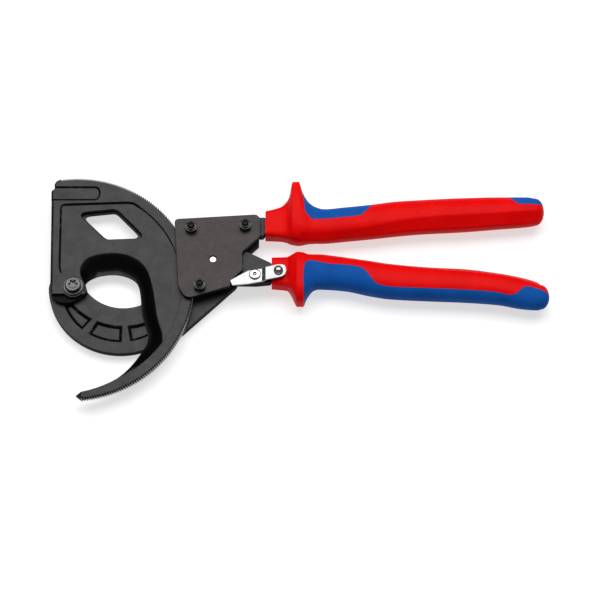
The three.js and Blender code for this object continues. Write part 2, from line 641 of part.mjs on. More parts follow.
// everything on the pad's side of its borders, which start beyond the grip's outer side
function padRegion(front, rear, shift) {
  const outerY = rear[0][1];
  const region = (border, low, high) => {
    const line = offsetLine(border, Math.sign(outerY) * shift);
    return plate([...line, [line[line.length - 1][0], outerY]], low, high);
  };
  return join(
    region(front, PAD_PARTING - 1, GUARD_HALF + 2),
    region(rear, -GUARD_HALF - 2, PAD_PARTING - shift),
  );
}

function addGrip(prefix, sections, cavity, front, rear) {
  const solid = cut(gripSolid(sections), cavity);
  addPart(`${prefix}_grip`, cut(solid, padRegion(front, rear, -PAD_GAP)), gripRed);
  addPart(`${prefix}_grip_pad`, common(solid, padRegion(front, rear, PAD_GAP)), gripBlue);
}

addPart('upper_tang', upperTang(), steelBlack);
addPart('drive_lever', driveLever(), steelBlack);
addGrip('upper', UPPER_GRIP, barCavity(TANG_BAR, 120), UPPER_PAD_FRONT, UPPER_PAD);
addGrip('lower', LOWER_GRIP, barCavity(LEVER_BAR, 124), LOWER_PAD, LOWER_PAD);

// ---------------------------------------------------------------- pawls and springs

// a round boss at the pin and an arm that narrows to a blunt tip
function pawl(pin, tip, armHalf) {
  const axis = new THREE.Vector2(tip[0] - pin[0], tip[1] - pin[1]);
  const heading = THREE.MathUtils.radToDeg(axis.angle());
  const unit = axis.clone().normalize();
  const side = new THREE.Vector2(-unit.y, unit.x);
  const at = (distance, offset) => [
    pin[0] + unit.x * distance + side.x * offset,
    pin[1] + unit.y * distance + side.y * offset,
  ];
  const length = axis.length();
  const outline = [
    ...arcPoints(pin, PAWL_BOSS, heading + 60, heading + 300, 14),
    at(length * 0.55, -armHalf), at(length, -0.5), at(length, 0.4), at(length * 0.6, armHalf),
  ];
  return cut(
    plate(outline, MIDDLE_REAR, PAWL_FRONT),
    disc(pin, PAWL_PIN_RADIUS + PIN_PLAY, MIDDLE_REAR - 1, PAWL_FRONT + 1, 20),
  );
}

class CoilPath extends THREE.Curve {
  constructor([x, y], radius, low, pitch, turns) {
    super();
    Object.assign(this, { x, y, radius, low, pitch, turns });
  }

  getPoint(t, target = new THREE.Vector3()) {
    const angle = 2 * Math.PI * this.turns * t;
    return target.set(
      this.x + this.radius * Math.cos(angle),
      this.y + this.radius * Math.sin(angle),
      this.low + this.pitch * this.turns * t,
    );
  }
}

function torsionSpring(centre, radius, low, wire, turns) {
  const section = arcPoints([0, 0], wire / 2, 0, 288, 4).map(([x, y]) => new THREE.Vector2(x, y));
  const extrudePath = new CoilPath(centre, radius, low + wire / 2, wire * 1.25, turns);
  const steps = Math.round(turns * 13);
  return new THREE.ExtrudeGeometry(new THREE.Shape(section), { steps, extrudePath, bevelEnabled: false });
}

const pawlPin = (centre, low, high) => disc(centre, PAWL_PIN_RADIUS, low, high, 20);
const pawlSpring = (centre, low, turns) => torsionSpring(centre, SPRING_RADIUS, low, SPRING_WIRE, turns);

addPart('drive_pawl', pawl(DRIVE_PAWL_PIN, DRIVE_PAWL_TIP, 1.9), steelGrey);
addPart('drive_pawl_pin', pawlPin(DRIVE_PAWL_PIN, MIDDLE_REAR, MIDDLE_FRONT - 0.1), steelGrey);
addPart('drive_pawl_spring', pawlSpring(DRIVE_PAWL_PIN, 1.75, 1.9), springSteel);
addPart('holding_pawl', pawl(HOLDING_PAWL_PIN, HOLDING_PAWL_TIP, 2.2), steelGrey);
addPart('holding_pawl_pin', pawlPin(HOLDING_PAWL_PIN, FIXED_REAR, MIDDLE_FRONT), steelGrey);
addPart('holding_pawl_spring', pawlSpring(HOLDING_PAWL_PIN, 0.4, 3.4), springSteel);

// ---------------------------------------------------------------- release latch

// one bent strip: its side view, cut to its outline from above
function releaseLatch() {
  const [low, high] = LATCH_PLATE;
  const [stripLow, stripHigh] = LATCH_STRIP;
  const sheet = plate([
    [100, low], [121.7, low], [124.1, stripLow], [138, stripLow], [138, stripHigh], [123.3, stripHigh],
    [120.9, high], [100, high],
  ], -20, 20).rotateX(Math.PI / 2);
  const outline = roundedShape([
    [100.6, 2.2, 0.5], [101.9, -1.2, 0.5], [111.4, -0.4, 3], [122, 1.6, 0.5], [131, 3.3, 1], [136.4, 4.6, 4],
    [136.4, 12.6, 4], [131, 12.4, 1], [122.6, 10.4, 0.5], [113.2, 9.7, 4],
  ]);
  return cut(
    common(sheet, plate(outline, low - 1, stripHigh + 1)),
    disc(LATCH_RIVET, RIVET_RADIUS + PIN_PLAY, low - 1, high + 1, 20),
    disc(LATCH_BUTTON, BUTTON_SHANK_RADIUS + PIN_PLAY, stripLow - 1, stripHigh + 1, 20),
  );
}

function latchRivet() {
  const seat = LATCH_PLATE[0] - GAP;
  const top = LATCH_PLATE[1] + 0.25;
  const body = join(
    disc(LATCH_RIVET, RIVET_RADIUS, MIDDLE_REAR, top + 0.5, 20),
    disc(LATCH_RIVET, RIVET_COLLAR_RADIUS, MIDDLE_FRONT + GAP, seat, 20),
    disc(LATCH_RIVET, RIVET_HEAD_RADIUS, top, top + 0.9, 24),
  );
  return cut(body, disc(LATCH_RIVET, 1.1, top + 0.3, top + 2, 16));
}

// a domed thumb button with a short shank riveted through the strip
function latchButton() {
  const seat = LATCH_STRIP[1] + 0.2;
  return turned(LATCH_BUTTON, [
    [0, LATCH_STRIP[0]], [BUTTON_SHANK_RADIUS, LATCH_STRIP[0]], [BUTTON_SHANK_RADIUS, seat],
    [BUTTON_RADIUS, seat], [BUTTON_RADIUS, seat + 0.6], [2.7, seat + 1.6], [1.7, seat + 2.5], [0.8, seat + 2.8],
    [0, seat + 2.9],
  ], 20);
}

addPart('release_latch', releaseLatch(), steelBright);
addPart('latch_rivet', latchRivet(), steelBright);
addPart('latch_button', latchButton(), steelBright);
addPart('latch_spring', torsionSpring(LATCH_RIVET, 3.6, MIDDLE_FRONT + 0.4, 0.6, 3.2), springSteel);

// ---------------------------------------------------------------- origin at the middle of the footprint

const box = new THREE.Box3().setFromObject(model);
const middle = box.getCenter(new THREE.Vector3());
model.position.set(-middle.x, -middle.y, -box.min.z);

export default model;
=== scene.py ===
"""The looks of a 320 mm ratchet cable cutter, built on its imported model. Metres, in the model's frame."""

import json
import math

import bmesh
import bpy
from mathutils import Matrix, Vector


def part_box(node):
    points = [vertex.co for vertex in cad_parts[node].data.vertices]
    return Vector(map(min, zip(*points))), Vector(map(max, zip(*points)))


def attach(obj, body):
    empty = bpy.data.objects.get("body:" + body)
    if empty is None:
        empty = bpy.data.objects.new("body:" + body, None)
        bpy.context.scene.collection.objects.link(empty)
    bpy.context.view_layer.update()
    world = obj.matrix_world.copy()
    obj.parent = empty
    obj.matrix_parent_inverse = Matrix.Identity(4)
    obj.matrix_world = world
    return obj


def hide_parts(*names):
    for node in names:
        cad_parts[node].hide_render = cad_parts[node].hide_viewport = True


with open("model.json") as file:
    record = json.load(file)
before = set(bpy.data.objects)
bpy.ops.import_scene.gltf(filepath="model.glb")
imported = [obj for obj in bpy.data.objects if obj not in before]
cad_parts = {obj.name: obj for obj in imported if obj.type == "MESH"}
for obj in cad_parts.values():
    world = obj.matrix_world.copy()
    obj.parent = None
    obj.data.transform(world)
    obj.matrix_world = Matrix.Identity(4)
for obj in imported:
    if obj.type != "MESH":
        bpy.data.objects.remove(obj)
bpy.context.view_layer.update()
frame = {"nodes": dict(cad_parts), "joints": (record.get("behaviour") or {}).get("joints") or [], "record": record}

# ------------------------------------------------ places, in millimetres from the blade pivot

MM = 0.001
JOINTS = {joint["name"]: joint for joint in frame["joints"]}
BODY_OF = {node: body for body, nodes in frame["record"]["behaviour"]["bodies"].items() for node in nodes}
PIVOT = Vector(JOINTS["blade_swing"]["pos_m"])


def metres(x, y, z):
    """A point in metres, from millimetres counted from the blade pivot."""
    return (PIVOT.x + x * MM, PIVOT.y + y * MM, PIVOT.z + z * MM)


def node_box(node):
    """Lowest and highest corner of a node, in millimetres from the blade pivot."""
    low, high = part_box(node)
    return [(corner - PIVOT) / MM for corner in (low, high)]


def middle_of(node):
    """Middle of a node, seen from the front, in millimetres from the blade pivot."""
    low, high = node_box(node)
    return ((low.x + high.x) / 2, (low.y + high.y) / 2)


# ------------------------------------------------ procedural finishes

NOISE_SPAN = (0.3, 0.7)           # most of a noise lies between these
NOISE_ROUGHNESS = 0.55
FLANK_PAINTED_SHADE = 0.06                # painted shade of a sloping face, as a share of the flat face's tone
FLANK_TO_FLAT = (0.988, 0.9995)   # upward part of the surface normal between which that painted shade turns to the flat tone
SCRATCHED_FLAT = (0.972, 0.997)   # the same for the faces that take scratches
SCRATCH_SHADE = 4                 # tone of a scratch, as a multiple of the flat face's
STAIN_SHADE = 0.62                # tone of a stain on bare steel, as a share of the steel's


class Finish:
    """A node material; its patterns are drawn in the piece's own coordinates, with sizes in millimetres."""

    def __init__(self, name, **sockets):
        self.material = bpy.data.materials.new(name)
        self.material.use_nodes = True
        self.nodes = self.material.node_tree.nodes
        self.links = self.material.node_tree.links
        self.shader = self.nodes["Principled BSDF"]
        self.place = self.nodes.new("ShaderNodeTexCoord").outputs["Object"]
        self.normal = None
        for socket, value in sockets.items():
            self.shader.inputs[socket.replace("_", " ")].default_value = value

    def pattern(self, kind, size, stretch):
        """A texture node whose grains have a size in millimetres, times the stretch along each axis."""
        mapping = self.nodes.new("ShaderNodeMapping")
        mapping.inputs["Scale"].default_value = [1 / (size * MM * share) for share in stretch]
        self.links.new(self.place, mapping.inputs["Vector"])
        texture = self.nodes.new(kind)
        texture.inputs["Scale"].default_value = 1
        self.links.new(mapping.outputs["Vector"], texture.inputs["Vector"])
        return texture

    def noise(self, size, detail=3.0, stretch=(1, 1, 1)):
        """Cloudy noise."""
        texture = self.pattern("ShaderNodeTexNoise", size, stretch)
        texture.inputs["Detail"].default_value = detail
        texture.inputs["Roughness"].default_value = NOISE_ROUGHNESS
        return texture.outputs["Fac"]

    def cells(self, size):
        """Distance from the middle of the nearest of many small cells."""
        return self.pattern("ShaderNodeTexVoronoi", size, (1, 1, 1)).outputs["Distance"]

    def remap(self, value, low, high, to_low=0.0, to_high=1.0):
        """The value with its range from low to high brought to another range."""
        node = self.nodes.new("ShaderNodeMapRange")
        node.inputs["From Min"].default_value = low
        node.inputs["From Max"].default_value = high
        node.inputs["To Min"].default_value = to_low
        node.inputs["To Max"].default_value = to_high
        self.links.new(value, node.inputs["Value"])
        return node.outputs["Result"]

    def times(self, a, b):
        """Product of two values."""
        node = self.nodes.new("ShaderNodeMath")
        node.operation = "MULTIPLY"
        self.links.new(a, node.inputs[0])
        self.links.new(b, node.inputs[1])
        return node.outputs["Value"]

    def blend(self, share, a, b):
        """Colour a where share is 0 and b where it is 1; each is a colour or a socket."""
        node = self.nodes.new("ShaderNodeMix")
        node.data_type = "RGBA"
        self.links.new(share, node.inputs[0])
        for socket, colour in ((node.inputs[6], a), (node.inputs[7], b)):
            if isinstance(colour, tuple):
                socket.default_value = (*colour, 1)
            else:
                self.links.new(colour, socket)
        return node.outputs[2]

    def tilt(self, steep, flat):
        """0 where the surface stands as steep as this, 1 where it lies as flat as this."""
        split = self.nodes.new("ShaderNodeSeparateXYZ")
        place = self.nodes.new("ShaderNodeTexCoord")
        self.links.new(place.outputs["Normal"], split.inputs["Vector"])
        return self.remap(split.outputs["Z"], steep, flat)

    def colour(self, socket):
        """Takes the surface colour from a socket."""
        self.links.new(socket, self.shader.inputs["Base Color"])

    def rough(self, socket):
        """Takes the roughness from a socket."""
        self.links.new(socket, self.shader.inputs["Roughness"])

    def bump(self, height, depth):
        """Relief of a depth in millimetres, added to what is there."""
        node = self.nodes.new("ShaderNodeBump")
        node.inputs["Distance"].default_value = depth * MM
        node.inputs["Strength"].default_value = 1
        self.links.new(height, node.inputs["Height"])
        if self.normal is not None:
            self.links.new(self.normal, node.inputs["Normal"])
        self.normal = node.outputs["Normal"]
        self.links.new(self.normal, self.shader.inputs["Normal"])


def blackened_steel_shaded_flanks(name, dark, light, roughness, scratches, specular=0.02, metallic=0.5):
    """Burnished black steel: faintly cloudy tone, blasted grain, and fine scratches along the tool.

    Sloping faces, such as the ground flanks, are painted darker than the flat faces: painted shade.
    """
    f = Finish(name, Metallic=metallic, Specular_IOR_Level=specular)
    cloud = f.remap(f.noise(9, detail=6), *NOISE_SPAN)
    fine = f.remap(f.noise(0.45, detail=2), *NOISE_SPAN)
    line = f.remap(f.noise(0.3, detail=1, stretch=(22, 1, 1)), 0.66, 0.74)
    # sloping faces are painted near-black: painted shade
    shaded_flank = tuple(c * FLANK_PAINTED_SHADE for c in dark)
    toned_and_flank_shaded = f.blend(f.tilt(*FLANK_TO_FLAT), shaded_flank, f.blend(cloud, dark, light))
    speckled = f.blend(f.remap(fine, 0, 1, 0, 0.06), toned_and_flank_shaded, light)
    scratched = f.times(line, f.tilt(*SCRATCHED_FLAT))
    bright = tuple(c * SCRATCH_SHADE for c in light)
    f.colour(f.blend(f.remap(scratched, 0, 1, 0, scratches), speckled, bright))
    f.rough(f.remap(f.noise(3, detail=6), 0.3, 0.75, roughness - 0.03, roughness + 0.04))
    f.bump(fine, 0.006)
    f.bump(f.noise(2.5, detail=2), 0.006)
    return f.material


def shaded_cut_wall(name, dark, light):
    """Cut and milled sides, left rough, and painted near-black as the shade on the walls."""
    f = Finish(name, Metallic=0.0, Specular_IOR_Level=0.04)
    cut = f.noise(0.4, detail=3, stretch=(1, 1, 7))
    f.colour(f.blend(f.remap(cut, 0.3, 0.75), dark, light))
    f.rough(f.remap(f.noise(1.4, detail=4), *NOISE_SPAN, 0.5, 0.66))
    f.bump(cut, 0.01)
    return f.material


def tooth_flank(name, shadow_radius, lit_bare_radius):
    """Flanks of the ratchet teeth: painted shadow, black, out to one radius about the pivot, and bare steel from
    the other on, whose light tone is partly a painted highlight on the tips.
    """
    f = Finish(name, Metallic=0.6, Specular_IOR_Level=0.02)
    arm = f.nodes.new("ShaderNodeVectorMath")
    arm.operation = "MULTIPLY_ADD"
    arm.inputs[1].default_value = (1, 1, 0)
    arm.inputs[2].default_value = (-PIVOT.x, -PIVOT.y, 0)
    f.links.new(f.place, arm.inputs[0])
    reach = f.nodes.new("ShaderNodeVectorMath")
    reach.operation = "LENGTH"
    f.links.new(arm.outputs["Vector"], reach.inputs[0])
    lit_bare_share = f.remap(reach.outputs["Value"], shadow_radius * MM, lit_bare_radius * MM)
    tone = f.blend(f.remap(f.noise(0.8), *NOISE_SPAN), (0.5, 0.5, 0.5), (0.7, 0.7, 0.7))
    f.colour(f.blend(lit_bare_share, (0.001, 0.001, 0.001), tone))
    f.rough(f.remap(f.noise(0.6), *NOISE_SPAN, 0.38, 0.5))
    f.bump(f.noise(0.4, detail=2), 0.006)
    return f.material


def shaded_rubbed_edge(name, base, worn, roughness):
    """The same black steel on its edges, painted near-black there as shade along them, and rubbed bright in small
    places.
    """
    f = Finish(name, Metallic=0.0, Specular_IOR_Level=0.05)
    handled = f.remap(f.noise(5, detail=4), 0.54, 0.72)
    patch = f.times(handled, f.remap(f.noise(0.6, detail=3), 0.4, 0.7))
    f.colour(f.blend(patch, base, worn))
    f.rough(f.remap(f.noise(1.6), *NOISE_SPAN, roughness - 0.06, roughness + 0.08))
    f.bump(f.noise(0.5, detail=2), 0.006)
    return f.material


def bare_steel(name, colour, roughness, grain, stretch=(1, 1, 1), relief=0.01):
    """Bright or bare steel with a drawn or ground grain; grain and relief are in millimetres."""
    f = Finish(name, Metallic=1.0)
    streak = f.noise(grain, detail=3, stretch=stretch)
    stain = f.remap(f.noise(4.5, detail=4), 0.42, 0.72)
    f.colour(f.blend(f.remap(stain, 0, 1, 0, 0.4), colour, tuple(c * STAIN_SHADE for c in colour)))
    f.rough(f.remap(streak, *NOISE_SPAN, roughness - 0.06, roughness + 0.1))
    f.bump(streak, relief)
    return f.material


def moulded_red(name):
    """Hard satin handle plastic with a fine moulded skin and a few handling scuffs."""
    f = Finish(name, Specular_IOR_Level=0.035)
    cloud = f.remap(f.noise(18, detail=4), *NOISE_SPAN)
    handled = f.remap(f.noise(9, detail=5), 0.56, 0.72)
    scuff = f.times(handled, f.remap(f.noise(0.5, stretch=(9, 1, 1)), 0.52, 0.7))
    skin = f.blend(cloud, (0.57, 0.0015, 0.002), (0.64, 0.002, 0.002))
    f.colour(f.blend(f.remap(scuff, 0, 1, 0, 0.25), skin, (0.8, 0.05, 0.04)))
    f.rough(f.remap(f.noise(2.4, detail=5), 0.3, 0.75, 0.34, 0.46))
    f.bump(f.noise(0.42, detail=2), 0.012)
    f.bump(f.noise(7, detail=2), 0.03)
    return f.material


def soft_blue(name):
    """Soft grip zone: matt, with a close pebbled skin."""
    f = Finish(name, Specular_IOR_Level=0.04)
    cloud = f.remap(f.noise(15, detail=4), *NOISE_SPAN)
    pebble = f.cells(0.5)
    skin = f.blend(cloud, (0.003, 0.062, 0.27), (0.006, 0.082, 0.34))
    f.colour(f.blend(f.remap(pebble, 0.2, 0.75, 0, 0.35), skin, (0.002, 0.045, 0.22)))
    f.rough(f.remap(f.noise(2, detail=4), *NOISE_SPAN, 0.5, 0.64))
    f.bump(pebble, 0.03)
    f.bump(f.noise(6, detail=2), 0.05)
    return f.material


def floor_finish():
    """Pale matt floor that glows a little, which keeps the shadows light."""
    f = Finish(
        "pale_floor",
        Roughness=0.9,
        Specular_IOR_Level=0.1,
        Emission_Color=(1, 1, 1, 1),
        Emission_Strength=0.62,
    )
    f.colour(f.blend(f.remap(f.noise(300, detail=2), *NOISE_SPAN), (0.40, 0.40, 0.40), (0.42, 0.42, 0.42)))
    return f.material


BLACK = blackened_steel_shaded_flanks(
    "burnished_steel", (0.0255, 0.0255, 0.0262), (0.034, 0.034, 0.0346), roughness=0.42, scratches=0.08,
)
COVER = blackened_steel_shaded_flanks(
    "burnished_cover", (0.030, 0.0262, 0.0262), (0.037, 0.0325, 0.032), roughness=0.4, scratches=0.14,
)
# near-black walls: painted shade
BLACK_WALL = shaded_cut_wall("shaded_cut_wall", (0.003, 0.003, 0.003), (0.008, 0.008, 0.0085))
# near-black edges: painted shade, with patches of real wear
BLACK_EDGE = shaded_rubbed_edge("shaded_edge_with_wear", (0.003, 0.003, 0.003), (0.09, 0.088, 0.086), roughness=0.4)
# black tooth roots: painted shadow; light tips beyond: bare steel and partly painted highlight
TOOTH = tooth_flank("tooth_flank", shadow_radius=76.45, lit_bare_radius=76.85)
FASTENER = blackened_steel_shaded_flanks(
    "black_zinc", (0.006, 0.006, 0.0065), (0.010, 0.010, 0.011),
    roughness=0.24, scratches=0.06, specular=0.5, metallic=0.0,
)
OXIDE = blackened_steel_shaded_flanks(
    "black_oxide", (0.003, 0.003, 0.003), (0.006, 0.006, 0.006),
    roughness=0.3, scratches=0.05, specular=0.07, metallic=0.0,
)
PLAIN = bare_steel("turned_steel", (0.06, 0.059, 0.059), roughness=0.3, grain=0.22, stretch=(1, 1, 8))
BRIGHT = bare_steel(
    "bright_steel", (0.2, 0.2, 0.202), roughness=0.26, grain=0.16, stretch=(30, 1, 1), relief=0.006,
)
POLISHED = bare_steel("polished_steel", (0.3, 0.3, 0.3), roughness=0.12, grain=0.5, relief=0.003)
WIRE = bare_steel("spring_wire", (0.18, 0.18, 0.176), roughness=0.32, grain=0.2, relief=0.008)
RED = moulded_red("red_plastic")
BLUE = soft_blue("blue_rubber")

# ------------------------------------------------ mesh helpers


def add_mesh(name, points, faces):
    """A new object from points in millimetres."""
    mesh = bpy.data.meshes.new(name)
    mesh.from_pydata([metres(*p) for p in points], [], faces)
    obj = bpy.data.objects.new(name, mesh)
    bpy.context.scene.collection.objects.link(obj)
    return obj


def apply_modifiers(obj):
    """Turns an object's modifiers into mesh."""
    graph = bpy.context.evaluated_depsgraph_get()
    made = bpy.data.meshes.new_from_object(obj.evaluated_get(graph))
    obj.modifiers.clear()
    obj.data = made


def shade(obj, sharp_degrees):
    """Smooth shading, with edges sharper than this kept as edges."""
    shape = bmesh.new()
    shape.from_mesh(obj.data)
    limit = math.radians(sharp_degrees)
    for face in shape.faces:
        face.smooth = True
    for edge in shape.edges:
        edge.smooth = len(edge.link_faces) == 2 and edge.calc_face_angle(0.0) < limit
    shape.to_mesh(obj.data)
    shape.free()
    obj.data.update()


def stands_for(obj, node, *materials):
    """obj takes the place of a node: its body and these materials."""
    if materials:
        obj.data.materials.clear()
        for material in materials:
            obj.data.materials.append(material)
    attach(obj, BODY_OF[node])
    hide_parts(node)
    return obj


FACE, EDGE, WALL, RIM = range(4)   # order of the materials of a rounded piece
WALL_TILT = 0.45                   # a face whose normal rises less than this is a wall
WELD = 0.02                        # corners nearer than this, in millimetres, become one
FLAT_DEGREES = 0.8                 # faces that meet at less than this become one
SHARP_DEGREES = 55                 # edges sharper than this stay sharp in the shading


def mark_walls(shape, on_rim):
    """Gives walls their own material, and the walls that on_rim picks another; on the blades and plates these
    carry painted shade.
    """
    for face in shape.faces:
        face.normal_update()
        place = (face.calc_center_median() - PIVOT) / MM
        face.material_index = FACE
        if abs(face.normal.z) < WALL_TILT:
            face.material_index = RIM if on_rim and on_rim(*place) else WALL


def weigh_edges(shape, angle, share):
    """Marks the edges sharper than an angle for rounding, by the share that holds at their middle."""
    weight = shape.edges.layers.float.new("bevel_weight_edge")
    for edge in shape.edges:
        if len(edge.link_faces) == 2 and edge.calc_face_angle(0.0) > math.radians(angle):
            middle = ((edge.verts[0].co + edge.verts[1].co) / 2 - PIVOT) / MM
            edge[weight] = share(*middle) if share else 1.0


def edged_copy(node, width, *materials, angle=38, segments=2, share=None, on_rim=None, reshape=None):
    """A node's shape with its edges rounded by a width in millimetres.

    The materials are for the faces, the rounded edges, the walls, and the walls that on_rim picks. share
    gives the part of the width used at a point, and reshape moves the corners first.
    """
    source = frame["nodes"][node].data
    shape = bmesh.new()
    lookup = [shape.verts.new(reshape(v.co) if reshape else v.co) for v in source.vertices]
    for polygon in source.polygons:
        corners = [lookup[i] for i in polygon.vertices]
        if len(set(corners)) == len(corners):
            shape.faces.new(corners)
    bmesh.ops.remove_doubles(shape, verts=shape.verts, dist=WELD * MM)
    flat = math.radians(FLAT_DEGREES)
    bmesh.ops.dissolve_limit(shape, angle_limit=flat, verts=shape.verts, edges=shape.edges)
    if len(materials) > WALL:
        mark_walls(shape, on_rim)
    weigh_edges(shape, angle, share)
    mesh = bpy.data.meshes.new(f"{node}.look")
    shape.to_mesh(mesh)
    shape.free()
    obj = bpy.data.objects.new(f"{node}.look", mesh)
    bpy.context.scene.collection.objects.link(obj)
    for material in materials:
        mesh.materials.append(material)
    bevel = obj.modifiers.new("rounding", "BEVEL")
    bevel.width = width * MM
    bevel.segments = segments
    bevel.limit_method = "WEIGHT"
    bevel.material = EDGE if len(materials) > EDGE else -1
    bevel.use_clamp_overlap = False
    apply_modifiers(obj)
    shade(obj, SHARP_DEGREES)
    weighted = obj.modifiers.new("face_normals", "WEIGHTED_NORMAL")
    weighted.keep_sharp = True
    apply_modifiers(obj)
    return stands_for(obj, node)


def ring_solid(name, centre, rings, sides=72, closed=False, sharp=32):
    """A solid of rings about a vertical axis, from the bottom up the outer side.

    Each ring is a radius and a height, and either may be a function of the angle. A flat face closes
    each end, unless closed joins the last ring to the first.
    """
    cx, cy = centre
    points, faces = [], []
    for radius, height in rings:
        for i in range(sides):
            turn = 2 * math.pi * i / sides
            r = radius(turn) if callable(radius) else radius
            z = height(turn) if callable(height) else height
            points.append((cx + r * math.cos(turn), cy + r * math.sin(turn), z))
    last = len(rings) - 1
    spans = [(k, k + 1) for k in range(last)] + ([(last, 0)] if closed else [])
    for a, b in spans:
        for i in range(sides):
            j = (i + 1) % sides
            faces.append((a * sides + i, a * sides + j, b * sides + j, b * sides + i))
    if not closed:
        faces.append(tuple(reversed(range(sides))))
        faces.append(tuple(last * sides + i for i in range(sides)))
    obj = add_mesh(name, points, faces)
    shade(obj, sharp)
    return obj


# ------------------------------------------------ blades, cover and handle steel

RING_CENTRE = (30.8, 3.7)
JAW_CENTRE = (32, 17.6)
POCKET_OUTER = 39.5       # the pockets lie within this radius of the ring's centre
POCKET_INNER = 41         # and outside this radius of the jaw's centre
POCKET_TOP = -8
TOOTH_ROOT = 75.1         # radii about the pivot
TOOTH_MIDDLE = 76.3
TEETH_END_DEGREES = 99    # the teeth run round the rim to this angle
TOOTH_DEEPENING = 0.5     # the roots are cut this much deeper than in the plain model
PANEL_FOOT = 57
BADGE_RIGHT = -4
BADGE_FOOT = 10
WINDOW_FOOT = 31
BOSS_STEP = 0.4           # level of the step below the pivot
LEVEL_PLAY = 0.1          # a face this near to a level is on it
UPWARD = 0.9              # a face whose normal rises more than this faces up
BLADE_ROUNDING = 0.7      # width of the rounded edges, for each kind of piece
JAW_ROUNDING = 1.1
PLATE_ROUNDING = 0.25
LATCH_ROUNDING = 0.18
NUT_ROUNDING = 0.2
SHARE_ON_TEETH = 0.08     # and the share of it that a place takes
SHARE_AT_WINDOW = 0.54
SHARE_ON_BLADE = 0.27
SHARE_ON_JAW = 0.23


def on_teeth(x, y, z):
    """Whether a point is on the toothed part of the rim."""
    return math.hypot(x, y) > TOOTH_ROOT and math.atan2(y, x) < math.radians(TEETH_END_DEGREES)


def deeper_teeth(place):
    """The place of a corner of the moving blade, moved inwards where it is the root of a tooth."""
    arm = (place - PIVOT) / MM
    reach = math.hypot(arm.x, arm.y)
    if on_teeth(*arm) and reach < TOOTH_MIDDLE:
        inwards = Vector((arm.x, arm.y, 0)) / reach
        return place - inwards * TOOTH_DEEPENING * MM
    return place


def blade_share(x, y, z):
    """Share of the moving blade's rounding: widest round the panel and the badge, least on the teeth."""
    if on_teeth(x, y, z):
        return SHARE_ON_TEETH
    if y > PANEL_FOOT or (x < BADGE_RIGHT and y > BADGE_FOOT):
        return 1.0
    return SHARE_AT_WINDOW if y > WINDOW_FOOT else SHARE_ON_BLADE


def jaw_share(x, y, z):
    """Share of the fixed blade's rounding: wide in the pockets between the jaw and the ring."""
    in_ring = math.hypot(x - RING_CENTRE[0], y - RING_CENTRE[1]) < POCKET_OUTER
    past_jaw = math.hypot(x - JAW_CENTRE[0], y - JAW_CENTRE[1]) > POCKET_INNER
    return 1.0 if in_ring and past_jaw and y < POCKET_TOP else SHARE_ON_JAW


def paint_step_shadow(blade):
    """Paints the step below the pivot as black as the walls: painted shade."""
    for face in blade.data.polygons:
        level = (face.center.z - PIVOT.z) / MM
        if face.normal.z > UPWARD and abs(level - BOSS_STEP) < LEVEL_PLAY:
            face.material_index = WALL


paint_step_shadow(edged_copy(
    "moving_blade", BLADE_ROUNDING, BLACK, BLACK_EDGE, BLACK_WALL, TOOTH,
    share=blade_share, on_rim=on_teeth, reshape=deeper_teeth,
))
edged_copy("fixed_blade", JAW_ROUNDING, BLACK, BLACK_EDGE, BLACK_WALL, share=jaw_share)
edged_copy("front_cover", PLATE_ROUNDING, COVER, BLACK_EDGE, BLACK_WALL)
edged_copy("upper_tang", PLATE_ROUNDING, BLACK, BLACK_EDGE, BLACK_WALL)
edged_copy("drive_lever", PLATE_ROUNDING, BLACK, BLACK_EDGE, BLACK_WALL)
edged_copy("release_latch", LATCH_ROUNDING, BRIGHT, POLISHED, angle=30, segments=3)
edged_copy("pivot_nut", NUT_ROUNDING, FASTENER)

# ------------------------------------------------ fasteners

NUT_ACROSS_FLATS = 7
NUT_WALL = 0.45
NUT_FOOT_HEIGHT = 0.5
NUT_HEX_HEIGHT = 3.7
NUT_CHAMFER_SLOPE = 0.55
BOLT_RADIUS = 2
BOLT_HEAD_HEIGHT = 2.8
BOLT_KEY = 2.6             # hexagon socket of the bolt, across its flats
BOLT_KEY_DEPTH = 1.6
THREAD_LENGTH = 8.4
THREAD_END = 0.7           # length without thread at the tip
THREAD_PITCH = 0.7
THREAD_DEPTH = 0.28
SCREW_HEAD_HEIGHT = 2.7
LOBE_RADIUS = 2.35         # middle radius of the six-lobe socket
LOBE_MOUTH_RADIUS = 2.5
LOBE_DEPTH = 0.42
SOCKET_REACH = 2.95        # the socket's walls lie within this radius of the axis
SOCKET_MOUTH = 0.17        # they start this far below the top of the head
SOCKET_WALL = 1.6          # and are this deep
LATCH_SEAT = 0.9           # height of the rivet's head over the latch plate
BUTTON_SHANK = 1.4
BUTTON_RADIUS = 3
BUTTON_RIM = 0.55          # height of the upright rim below the dome
BUTTON_STEPS = 12


def hexagon(across_flats):
    """Radius of a hexagon as a function of the angle."""
    def radius(turn):
        inside = (turn + math.pi / 6) % (math.pi / 3) - math.pi / 6
        return across_flats / 2 / math.cos(inside)
    return radius


def six_lobes(middle_radius):
    """Radius of a six-lobe socket as a function of the angle."""
    def radius(turn):
        return middle_radius + LOBE_DEPTH * math.cos(6 * turn)
    return radius


